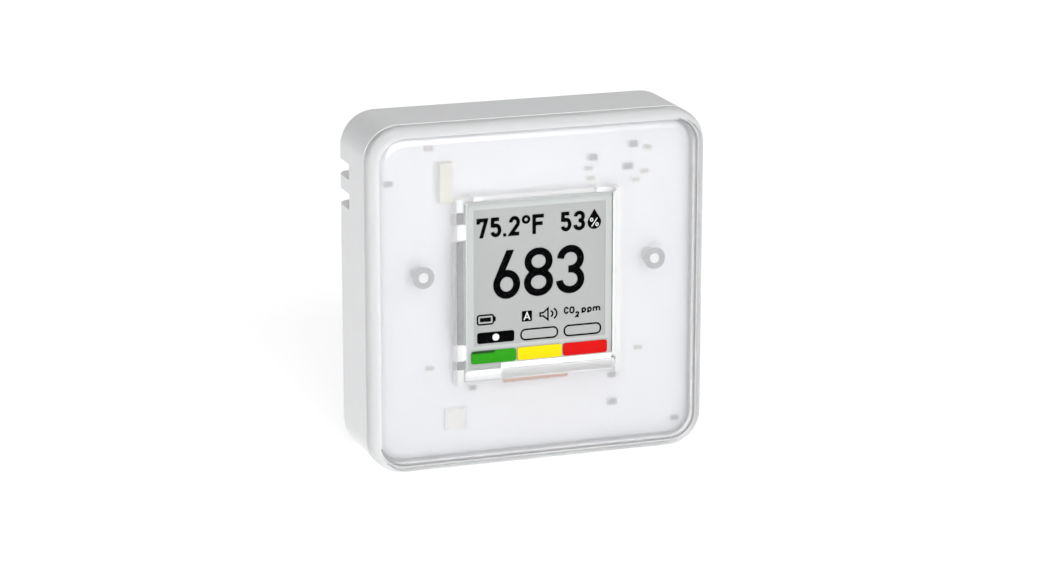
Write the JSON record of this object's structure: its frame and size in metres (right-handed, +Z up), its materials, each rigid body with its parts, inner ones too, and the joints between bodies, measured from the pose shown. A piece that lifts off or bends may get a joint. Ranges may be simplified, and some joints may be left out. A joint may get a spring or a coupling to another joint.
{
  "type": "air quality monitor",
  "caption": "Square frosted-case indoor air quality monitor with an e-paper display, coloured status bars and a snap-off rear battery cover.",
  "frame": {"origin": "on the standing surface, under the middle of the case", "axes": "+X to the right seen from the front, +Y from the display to the back, +Z up"},
  "size_m": [0.07, 0.024, 0.07],
  "materials": {
    "frosted_shell": "frosted translucent polycarbonate",
    "white_shell": "fine moulded texture",
    "clear_window": "clear polished",
    "green_ink": "printed",
    "yellow_ink": "printed",
    "red_ink": "printed",
    "epaper_grey": "electronic paper film",
    "panel_glass": "coated glass",
    "black_plastic": "moulded",
    "white_tape": "film tape",
    "amber_flex": "polyimide film",
    "holder_plastic": "moulded",
    "board_white": "white solder mask",
    "board_green": "green solder mask",
    "amber_resin": "moulded epoxy",
    "nickel": "nickel plate",
    "screw_steel": "zinc plated",
    "ceramic": "fired ceramic",
    "filter_fabric": "porous membrane",
    "cell_wrap": "shrink sleeve",
    "label_paper": "polyester label"
  },
  "bodies": {
    "case": {"front_cover": "frosted_shell", "rear_housing": "white_shell", "display_window": "clear_window", "status_bar_green": "green_ink", "status_bar_yellow": "yellow_ink", "status_bar_red": "red_ink", "epaper_film": "epaper_grey", "epaper_glass": "panel_glass", "display_driver_chip": "black_plastic", "display_tape": "white_tape", "display_flex": "amber_flex", "flex_socket": "black_plastic", "display_holder": "holder_plastic", "main_board": "board_white", "storage_capacitor": "amber_resin", "radio_module": "nickel", "radio_antenna": "ceramic", "power_inductor": "black_plastic", "humidity_sensor": "black_plastic", "buzzer": "black_plastic", "co2_sensor_board": "board_green", "co2_optical_chamber": "holder_plastic", "co2_dust_filter": "filter_fabric", "co2_header_left": "black_plastic", "co2_header_right": "black_plastic", "switch_body_unit": "nickel", "switch_body_buzzer": "nickel", "switch_body_calibration": "nickel", "button_body": "nickel", "case_screw_left": "screw_steel", "case_screw_right": "screw_steel", "battery_cell_upper": "cell_wrap", "battery_cell_lower": "cell_wrap", "contact_spring_upper": "nickel", "contact_spring_lower": "nickel", "contact_bridge": "nickel", "contact_plate_upper": "nickel", "contact_plate_lower": "nickel"},
    "rear_cover": {"rear_cover": "white_shell", "rear_label": "label_paper"},
    "unit_slider": {"switch_slider_unit": "black_plastic"},
    "buzzer_slider": {"switch_slider_buzzer": "black_plastic"},
    "calibration_slider": {"switch_slider_calibration": "black_plastic"},
    "push_button": {"button_cap": "black_plastic"}
  },
  "joints": [
    {"name": "rear_cover_slide", "type": "slide", "parent": "case", "child": "rear_cover", "axis": [0, 1, 0], "range_m": [0, 0.02]},
    {"name": "unit_switch_slide", "type": "slide", "parent": "case", "child": "unit_slider", "axis": [1, 0, 0], "range_m": [0, 0.002]},
    {"name": "buzzer_switch_slide", "type": "slide", "parent": "case", "child": "buzzer_slider", "axis": [1, 0, 0], "range_m": [0, 0.002]},
    {"name": "calibration_switch_slide", "type": "slide", "parent": "case", "child": "calibration_slider", "axis": [1, 0, 0], "range_m": [0, 0.002]},
    {"name": "push_button_press", "type": "slide", "parent": "case", "child": "push_button", "axis": [0, -1, 0], "range_m": [0, 0.0005], "stiffness_N_per_m": 800}
  ]
}
